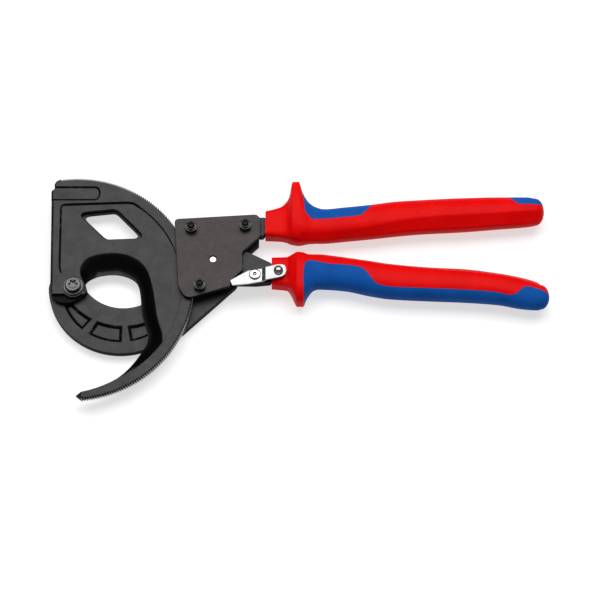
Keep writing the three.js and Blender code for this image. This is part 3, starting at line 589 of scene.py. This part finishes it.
def lock_nut(node):
    """Self-locking nut: chamfered hexagon under a round collar that grips the thread."""
    low, high = node_box(node)
    hexed = hexagon(NUT_ACROSS_FLATS)
    flat = NUT_ACROSS_FLATS / 2
    collar = flat - NUT_WALL
    foot = low.z + NUT_FOOT_HEIGHT
    top = low.z + NUT_HEX_HEIGHT
    bore = BOLT_RADIUS + 0.15

    def sloped_foot(turn):
        return foot + NUT_CHAMFER_SLOPE * (hexed(turn) - flat)

    def sloped_top(turn):
        return top - NUT_CHAMFER_SLOPE * (hexed(turn) - flat)

    rings = [
        (bore + 0.3, low.z), (flat - 0.15, low.z), (flat - 0.02, low.z + 0.12), (flat - 0.02, foot),
        (hexed, sloped_foot), (hexed, sloped_top), (flat - 0.02, top), (collar, top + 0.05),
        (collar, high.z - 0.55), (collar - 0.16, high.z - 0.18), (collar - 0.5, high.z),
        (bore + 0.25, high.z), (bore + 0.05, high.z - 0.2), (bore, high.z - 0.6), (bore, low.z + 0.3),
    ]
    nut = ring_solid(f"{node}.look", middle_of(node), rings, closed=True)
    return stands_for(nut, node, FASTENER)


def cover_bolt(node):
    """Socket-head bolt seen from the rear, with a threaded end at the front."""
    low, high = node_box(node)
    head = (high.x - low.x) / 2
    shoulder = low.z + BOLT_HEAD_HEIGHT
    key = hexagon(BOLT_KEY)
    rings = [
        (key, low.z + BOLT_KEY_DEPTH), (key, low.z + 0.18), (1.72, low.z), (head - 0.5, low.z),
        (head - 0.15, low.z + 0.14), (head, low.z + 0.5), (head, shoulder - 0.12),
        (head - 0.12, shoulder), (BOLT_RADIUS, shoulder),
    ]
    thread_start = high.z - THREAD_LENGTH
    thread_root = BOLT_RADIUS - THREAD_DEPTH
    turns = int((high.z - THREAD_END - thread_start) / THREAD_PITCH)
    rings.append((BOLT_RADIUS, thread_start))
    for k in range(turns):
        z = thread_start + k * THREAD_PITCH
        rings += [(thread_root, z + share * THREAD_PITCH) for share in (0.3, 0.45)]
        rings += [(BOLT_RADIUS, z + share * THREAD_PITCH) for share in (0.85, 1)]
    rings += [(BOLT_RADIUS - 0.5, high.z - 0.06), (BOLT_RADIUS - 0.62, high.z)]
    bolt = ring_solid(f"{node}.look", middle_of(node), rings, sides=48)
    return stands_for(bolt, node, OXIDE)


for number in (1, 2, 3):
    lock_nut(f"lock_nut_{number}")
    cover_bolt(f"cover_bolt_{number}")


def pivot_screw():
    """Round head with a turned rim and a six-lobe socket."""
    low, high = node_box("pivot_screw")
    head = (high.x - low.x) / 2
    seat = high.z - SCREW_HEAD_HEIGHT
    lobed = six_lobes(LOBE_RADIUS)
    lobed_mouth = six_lobes(LOBE_MOUTH_RADIUS)
    rings = [
        (2.6, low.z), (2.9, low.z + 0.3), (2.9, seat), (head - 0.25, seat), (head, seat + 0.25),
        (head, high.z - 0.55), (head - 0.12, high.z - 0.26), (head - 0.45, high.z - 0.06),
        (head - 0.8, high.z), (3.25, high.z), (3.1, high.z - 0.05), (lobed_mouth, high.z - 0.16),
        (lobed, high.z - 0.4), (lobed, high.z - 1.75), (1.2, high.z - 2.0),
    ]
    screw = ring_solid("pivot_screw.look", middle_of("pivot_screw"), rings, sides=96)
    stands_for(screw, "pivot_screw", PLAIN, BLACK_WALL)
    mouth = PIVOT.z + (high.z - SOCKET_MOUTH) * MM
    for face in screw.data.polygons:
        near_axis = (face.center - PIVOT).xy.length < SOCKET_REACH * MM
        in_socket = near_axis and mouth - SOCKET_WALL * MM < face.center.z < mouth
        face.material_index = 1 if in_socket else 0   # BLACK_WALL, painted shade in the socket, else PLAIN


def pivot_washer():
    """Washer with a rounded rim and a turned groove."""
    low, high = node_box("pivot_washer")
    rim = (high.x - low.x) / 2
    rings = [
        (3.2, low.z), (rim - 0.2, low.z), (rim, low.z + 0.2), (rim, high.z - 0.3),
        (rim - 0.1, high.z - 0.1), (rim - 0.35, high.z), (5.6, high.z), (5.45, high.z - 0.12),
        (5.2, high.z - 0.12), (5.05, high.z), (3.3, high.z), (3.1, high.z - 0.2), (3.1, low.z + 0.1),
    ]
    washer = ring_solid("pivot_washer.look", middle_of("pivot_washer"), rings, sides=96, closed=True)
    return stands_for(washer, "pivot_washer", PLAIN)


def handle_pin():
    """Stepped pin: wide where it carries the lever, slim where it passes the two plates."""
    low, high = node_box("handle_pin")
    wide = (high.x - low.x) / 2
    rings = [
        (1.9, low.z), (2.3, low.z + 0.35), (2.3, -3), (wide - 0.2, -3), (wide, -2.8), (wide, 3),
        (wide - 0.2, 3.2), (2.3, 3.2), (2.3, high.z - 0.4), (2.22, high.z - 0.18), (2.05, high.z - 0.06),
        (1.7, high.z - 0.02), (0.8, high.z), (0.3, high.z),
    ]
    pin = ring_solid("handle_pin.look", middle_of("handle_pin"), rings)
    return stands_for(pin, "handle_pin", POLISHED)


def latch_rivet():
    """Rivet with a wide polished head, set over the latch plate and dimpled by the setting punch."""
    low, high = node_box("latch_rivet")
    seat = high.z - LATCH_SEAT
    rings = [
        (1.3, low.z), (1.6, low.z + 0.3), (1.6, 3.5), (2.85, 3.5), (3, 3.65), (3, 6.35), (2.85, 6.5),
        (1.6, 6.5), (1.6, seat), (3.55, seat), (3.7, seat + 0.18), (3.66, seat + 0.42),
        (3.45, seat + 0.62), (3, seat + 0.76), (2.2, seat + 0.86), (1.5, high.z), (1.2, high.z - 0.06),
        (0.95, high.z - 0.26), (0.5, high.z - 0.52), (0.2, high.z - 0.58),
    ]
    rivet = ring_solid("latch_rivet.look", middle_of("latch_rivet"), rings, sides=80, sharp=40)
    return stands_for(rivet, "latch_rivet", POLISHED)


def latch_button():
    """Domed thumb button on a short shank."""
    low, high = node_box("latch_button")
    seat = low.z + BUTTON_SHANK
    dome = high.z - seat - BUTTON_RIM
    rings = [
        (1.0, low.z), (1.3, low.z + 0.2), (1.3, seat), (BUTTON_RADIUS - 0.2, seat),
        (BUTTON_RADIUS, seat + 0.15), (BUTTON_RADIUS, seat + BUTTON_RIM),
    ]
    for k in range(1, BUTTON_STEPS):
        lift = math.pi / 2 * k / BUTTON_STEPS
        rings.append((BUTTON_RADIUS * math.cos(lift), seat + BUTTON_RIM + dome * math.sin(lift)))
    rings.append((0.12, high.z))
    button = ring_solid("latch_button.look", middle_of("latch_button"), rings, sides=64, sharp=40)
    return stands_for(button, "latch_button", POLISHED)


pivot_screw()
pivot_washer()
handle_pin()
latch_rivet()
latch_button()

# ------------------------------------------------ handle grips

# cross-sections of the grips along x: [x, low y, high y, half depth, squareness]
UPPER_GRIP = [
    [122.8, 34.9, 52.4, 6.5, 6], [132.6, 34.2, 55.6, 6.5, 5], [136.6, 33.2, 59.6, 7.4, 4],
    [138.4, 32.3, 63.6, 8.8, 3.4], [140.2, 31.8, 73.6, 11.4, 3], [144.4, 31.2, 74, 11.4, 3],
    [146.9, 31.4, 66.4, 10.8, 2.8], [148.9, 31.7, 62.3, 10.2, 2.6], [151.6, 32, 58.8, 9.3, 2.5],
    [155.4, 32.1, 56.3, 8.8, 2.4], [160.8, 32.2, 54.8, 8.8, 2.4], [174.5, 33.6, 56, 9.3, 2.4],
    [190.8, 35.3, 57.8, 9.3, 2.4], [207, 37.2, 60.1, 9.3, 2.4], [223.5, 38.8, 61.2, 9.3, 2.4],
    [250, 40.3, 62.6, 9.2, 2.4], [275.7, 42.4, 63.3, 9, 2.3], [292, 43.8, 63.3, 8.6, 2.3],
    [298.5, 44.9, 62.5, 7.8, 2.2], [303.9, 49, 60.2, 6.2, 2.1],
]
LOWER_GRIP = [
    [127, 0.9, 19.7, 6.5, 6], [136.9, -0.4, 20.3, 6.5, 5], [139.4, -3.4, 21.6, 8.4, 4],
    [141.8, -8.9, 23, 10.2, 3.4], [143.2, -11.3, 23.9, 11.4, 3], [147.4, -11.4, 23.9, 11.4, 3],
    [148.9, -7.6, 23.2, 10.8, 2.8], [151.2, -3.8, 22.8, 10, 2.6], [153.8, -1, 22.8, 9.2, 2.5],
    [157, -0.1, 22.9, 8.8, 2.4], [165, -0.4, 22, 9, 2.4], [174.2, -1.2, 20.6, 9.3, 2.4],
    [190, -4.7, 18.2, 9.3, 2.4], [202.8, -6.8, 16.1, 9.3, 2.4], [228.4, -8.2, 13.6, 9.3, 2.4],
    [250, -9.1, 12.4, 9.2, 2.4], [273, -11, 9.4, 9, 2.3], [286.6, -13.7, 6.6, 8.6, 2.3],
    [297, -14.6, 3.4, 7.8, 2.2], [302.4, -12.6, -1.6, 6, 2.1], [304.8, -9.8, -5.6, 3.4, 2],
]
# border of each soft pad, seen from the front; the upper pad runs further on the rear
UPPER_PAD_GUARD = [
    [144.9, 80], [145.4, 73], [147.4, 60], [148.5, 50.4], [149.8, 48.2], [152, 46.1], [155, 44.8],
    [174.3, 46.2], [183.9, 47.6], [187.2, 50], [190.2, 53.6],
]
UPPER_PAD_END = [[286, 56.6], [289.5, 55.8], [308, 56]]
UPPER_PAD_FRONT = UPPER_PAD_GUARD + [
    [193, 57.5], [195.5, 61.5], [197, 68], [279, 68], [281.2, 61.5], [283.6, 58.6],
] + UPPER_PAD_END
UPPER_PAD_REAR = UPPER_PAD_GUARD + [[194, 55.4], [223, 58], [250, 59], [282.5, 59.4]] + UPPER_PAD_END
LOWER_PAD = [
    [148.4, -20], [148.4, 13.5], [165, 13.4], [177.5, 12.4], [184.5, 10.8], [188, 7.6], [190.5, 4.2],
    [193.8, 0.4], [199, -1.4], [208, -2.4], [242, -3.8], [267.6, -5.5], [278.5, -7.6], [283, -6.6],
    [287.3, -3], [291, -2], [301, -4.6], [308, -8.4],
]
# steel inside each grip: [x, low y, high y]
TANG_BAR = [[120, 37.4, 48.3], [123, 37.4, 48.3], [175, 39.5, 50.5], [240, 45, 55.5], [284, 49.2, 57]]
LEVER_BAR = [[124, 4.2, 16], [126.6, 4.2, 16], [175, 4.5, 15.4], [240, -3.4, 7.4], [284, -8.8, -0.6]]
BAR_LEVELS = (-3, 3.2)      # underside and top of that steel
CAVITY_PLAY = 0.2           # room left round it
SEAM = 0.04                 # each side of a pad's border is cut back by this
PAD_PARTING = 2             # the front border of a pad holds above this level, the rear one below
PAD_OVERLAP = 1             # height in which the two cutting prisms of a pad overlap
PAD_CUT = 14                # those prisms reach this far up and down
BORDER_POINTS = 5           # points to each span of a border
GRIP_SIDES = 96
GRIP_SHARP_DEGREES = 42
GUARD_END = 164
GUARD_STEP = 0.6            # distance between cross-sections at the guard
GRIP_STEP = 2.0             # along the grip
NOSE_STEP = 0.5             # and near its end
LEAST_STEP = 0.3
NOSE_LENGTH = 14
END_ROUNDING = 5.5          # length of the rounded end, and the angles of its cross-sections
END_DEGREES = (15, 30, 45, 60, 75, 85)
FACET_FALL = 0.6            # share of its height by which the front facet falls to the edge
# line past which the front of each grip is one flat facet
UPPER_CREASE = [[146, 35.6], [168, 37], [191, 40], [214, 44.5], [236, 47], [270, 49], [300, 51.5]]
LOWER_CREASE = [[146, 21], [165, 19], [190, 15.2], [228, 10.6], [273, 6], [300, -0.5]]


def monotone_curve(xs, ys):
    """A smooth curve through points, as a function of x, that never swings past them."""
    count = len(xs)
    slope = [(ys[i + 1] - ys[i]) / (xs[i + 1] - xs[i]) for i in range(count - 1)]
    tangent = [slope[0]]
    for a, b in zip(slope, slope[1:]):
        tangent.append(0.0 if a * b <= 0 else 2 * a * b / (a + b))
    tangent.append(slope[-1])

    def value(x):
        i = max(k for k in range(count - 1) if k == 0 or xs[k] <= x)
        h = xs[i + 1] - xs[i]
        t = (x - xs[i]) / h
        return (
            (1 + 2 * t) * (1 - t) ** 2 * ys[i] + t * (1 - t) ** 2 * h * tangent[i]
            + t * t * (3 - 2 * t) * ys[i + 1] + t * t * (t - 1) * h * tangent[i + 1]
        )
    return value


def between(t, a, b, c, d):
    """The value at a share t of the way from b to c, on a Catmull-Rom curve through all four."""
    squared = 2 * a - 5 * b + 4 * c - d
    cubed = 3 * b - a - 3 * c + d
    return 0.5 * (2 * b + (c - a) * t + squared * t * t + cubed * t ** 3)


def spline_points(points, per_span):
    """Points of a smooth curve through the given ones, so many to each span."""
    made = []
    last = len(points) - 1
    for i in range(last):
        near = [points[min(max(k, 0), last)] for k in (i - 1, i, i + 1, i + 2)]
        for step in range(per_span):
            made.append([between(step / per_span, *values) for values in zip(*near)])
    return made + [points[-1]]


def offset_line(points, distance):
    """A line moved sideways, to its left where the distance is positive."""
    made = []
    for i, (x, y) in enumerate(points):
        x0, y0 = points[max(i - 1, 0)]
        x1, y1 = points[min(i + 1, len(points) - 1)]
        length = math.hypot(x1 - x0, y1 - y0)
        made.append([x - distance * (y1 - y0) / length, y + distance * (x1 - x0) / length])
    return made


def prism(name, outline, low, high):
    """An upright prism over a polygon."""
    count = len(outline)
    area = sum(a[0] * b[1] - b[0] * a[1] for a, b in zip(outline, outline[1:] + outline[:1]))
    ordered = outline if area > 0 else outline[::-1]
    points = [(x, y, low) for x, y in ordered] + [(x, y, high) for x, y in ordered]
    faces = [tuple(reversed(range(count))), tuple(range(count, 2 * count))]
    faces += [(i, (i + 1) % count, (i + 1) % count + count, i + count) for i in range(count)]
    return add_mesh(name, points, faces)


def carve(obj, tool, operation):
    """Cuts, joins or meets a solid with a tool, which is then gone."""
    boolean = obj.modifiers.new("carve", "BOOLEAN")
    boolean.operation = operation
    boolean.solver = "MANIFOLD"
    boolean.object = tool
    apply_modifiers(obj)
    bpy.data.objects.remove(tool)


def grip_rows(first, last):
    """Places of the cross-sections along x."""
    rows = [first]
    while rows[-1] < last - LEAST_STEP:
        x = rows[-1]
        step = GUARD_STEP if x < GUARD_END else NOSE_STEP if x > last - NOSE_LENGTH else GRIP_STEP
        rows.append(x + step)
    return rows[:-1] + [last]


def grip_body(name, sections, crease, crease_edge):
    """A grip's outer body. The front facet lies on the crease's low side (-1) or its high side (1)."""
    xs = [section[0] for section in sections]
    low, high, depth, square = (
        monotone_curve(xs, [section[k] for section in sections]) for k in (1, 2, 3, 4)
    )
    crease_y = monotone_curve([x for x, y in crease], [y for x, y in crease])
    last = xs[-1] - END_ROUNDING
    # each row: where it stands, the cross-section it takes, and the share of that section's size
    profile = [(x, x, 1.0) for x in grip_rows(xs[0], last)]
    for degrees in END_DEGREES:
        turn = math.radians(degrees)
        profile.append((last + END_ROUNDING * math.sin(turn), last, math.cos(turn)))
    points, faces = [], []
    for x, at, scale in profile:
        middle = (low(at) + high(at)) / 2
        reach = (high(at) - low(at)) / 2 * scale
        bulge = depth(at) * scale
        power = 2 / square(at)
        fold = None
        if crease[0][0] < at:
            fold = middle + (crease_y(min(at, crease[-1][0])) - (low(at) + high(at)) / 2) * scale
            fold_z = bulge * (1 - min(abs(fold - middle) / reach, 1) ** square(at)) ** (1 / square(at))
            end = middle + reach * crease_edge
        for k in range(GRIP_SIDES):
            angle = 2 * math.pi * (k + 0.5) / GRIP_SIDES
            c, s = math.cos(angle), math.sin(angle)
            y = middle + reach * math.copysign(abs(c) ** power, c)
            z = bulge * math.copysign(abs(s) ** power, s)
            if fold is not None and z > 0 and (y - fold) * crease_edge > 0:
                share = (y - fold) / (end - fold)
                z = min(z, fold_z * (1 - FACET_FALL * share))
            points.append((x, y, z))
    rows = len(profile)
    for i in range(rows - 1):
        for k in range(GRIP_SIDES):
            a = i * GRIP_SIDES + k
            b = i * GRIP_SIDES + (k + 1) % GRIP_SIDES
            faces.append((a, b, b + GRIP_SIDES, a + GRIP_SIDES))
    faces.append(tuple(reversed(range(GRIP_SIDES))))
    faces.append(tuple((rows - 1) * GRIP_SIDES + k for k in range(GRIP_SIDES)))
    return add_mesh(name, points, faces)


def bar_cavity(bar):
    """The room for the steel inside a grip."""
    lower = [[x, low - CAVITY_PLAY] for x, low, high in bar]
    upper = [[x, high + CAVITY_PLAY] for x, low, high in reversed(bar)]
    for end in (lower[-1], upper[0]):
        end[0] += CAVITY_PLAY
    return prism("cavity", lower + upper, BAR_LEVELS[0] - CAVITY_PLAY, BAR_LEVELS[1] + CAVITY_PLAY)


def pad_prism(border, shift, low, high):
    """The outer side of a border, which is moved outwards by shift, between two levels."""
    outer = border[0][1]
    side = math.copysign(1, outer)
    line = offset_line(spline_points(border, BORDER_POINTS), side * shift)
    return prism("pad_region", line + [[line[-1][0], outer]], low, high)


def pad_region(front, rear, shift):
    """The pad's side of its two borders."""
    region = pad_prism(rear, shift, -PAD_CUT, PAD_PARTING - shift)
    carve(region, pad_prism(front, shift, PAD_PARTING - PAD_OVERLAP, PAD_CUT), "UNION")
    return region


def grip(prefix, sections, bar, front, rear, crease, crease_edge):
    """A red shell and its soft blue pad, cut from one smooth body along the pad's borders."""
    for node, material, operation, shift in (
        (f"{prefix}_grip", RED, "DIFFERENCE", -SEAM),
        (f"{prefix}_grip_pad", BLUE, "INTERSECT", SEAM),
    ):
        body = grip_body(f"{node}.look", sections, crease, crease_edge)
        carve(body, bar_cavity(bar), "DIFFERENCE")
        carve(body, pad_region(front, rear, shift), operation)
        shade(body, GRIP_SHARP_DEGREES)
        stands_for(body, node, material)


grip("upper", UPPER_GRIP, TANG_BAR, UPPER_PAD_FRONT, UPPER_PAD_REAR, UPPER_CREASE, -1)
grip("lower", LOWER_GRIP, LEVER_BAR, LOWER_PAD, LOWER_PAD, LOWER_CREASE, 1)

# ------------------------------------------------ inner parts keep their own shapes

for material, nodes in (
    (PLAIN, ("spacer_sleeve", "drive_pawl", "drive_pawl_pin", "holding_pawl", "holding_pawl_pin")),
    (WIRE, ("drive_pawl_spring", "holding_pawl_spring", "latch_spring")),
):
    for node in nodes:
        frame["nodes"][node].data.materials.clear()
        frame["nodes"][node].data.materials.append(material)

# ------------------------------------------------ floor, light and camera

AIM = Vector(metres(145.2, -8.1, 0))   # the camera and the light look at this point
CAMERA_DISTANCE = 1.4
CAMERA_ELEVATION = 67.5
LENS = 131.25
SENSOR_WIDTH = 36
FLOOR_Z = -0.0001
FLOOR_HALF = 3.0
WORLD_STRENGTH = 0.22


def looking(obj, target):
    """Turns an object's -Z axis towards a target."""
    obj.rotation_euler = (target - obj.location).to_track_quat("-Z", "Y").to_euler()


def area_light(name, azimuth, elevation, distance, width, height, power):
    """A softbox that looks at the tool; azimuth 0 is over the +Y side, and 90 over +X."""
    data = bpy.data.lights.new(name, "AREA")
    data.shape = "RECTANGLE"
    data.size = width
    data.size_y = height
    data.energy = power
    light = bpy.data.objects.new(name, data)
    a, e = math.radians(azimuth), math.radians(elevation)
    towards = Vector((math.sin(a) * math.cos(e), math.cos(a) * math.cos(e), math.sin(e)))
    light.location = AIM + distance * towards
    looking(light, AIM)
    bpy.context.scene.collection.objects.link(light)


def add_floor():
    """A pale floor just below the tool."""
    mesh = bpy.data.meshes.new("floor")
    signs = ((-1, -1), (1, -1), (1, 1), (-1, 1))
    corners = [(sx * FLOOR_HALF, sy * FLOOR_HALF, FLOOR_Z) for sx, sy in signs]
    mesh.from_pydata(corners, [], [(0, 1, 2, 3)])
    floor = bpy.data.objects.new("floor", mesh)
    floor.data.materials.append(floor_finish())
    bpy.context.scene.collection.objects.link(floor)


def add_world():
    """An even white surrounding."""
    world = bpy.data.worlds.new("studio")
    world.use_nodes = True
    background = world.node_tree.nodes["Background"]
    background.inputs["Color"].default_value = (1, 1, 1, 1)
    background.inputs["Strength"].default_value = WORLD_STRENGTH
    bpy.context.scene.world = world
    bpy.context.scene.view_settings.view_transform = "Standard"


def add_camera():
    """A long lens from the lower side of the tool, high above it."""
    lens = bpy.data.cameras.new("camera")
    lens.lens = LENS
    lens.sensor_width = SENSOR_WIDTH
    camera = bpy.data.objects.new("camera", lens)
    rise = math.radians(CAMERA_ELEVATION)
    camera.location = AIM + CAMERA_DISTANCE * Vector((0, -math.cos(rise), math.sin(rise)))
    looking(camera, AIM)
    bpy.context.scene.collection.objects.link(camera)
    bpy.context.scene.camera = camera


add_floor()
area_light("overhead", azimuth=0, elevation=68, distance=1.3, width=1.7, height=0.85, power=25)
add_world()
add_camera()
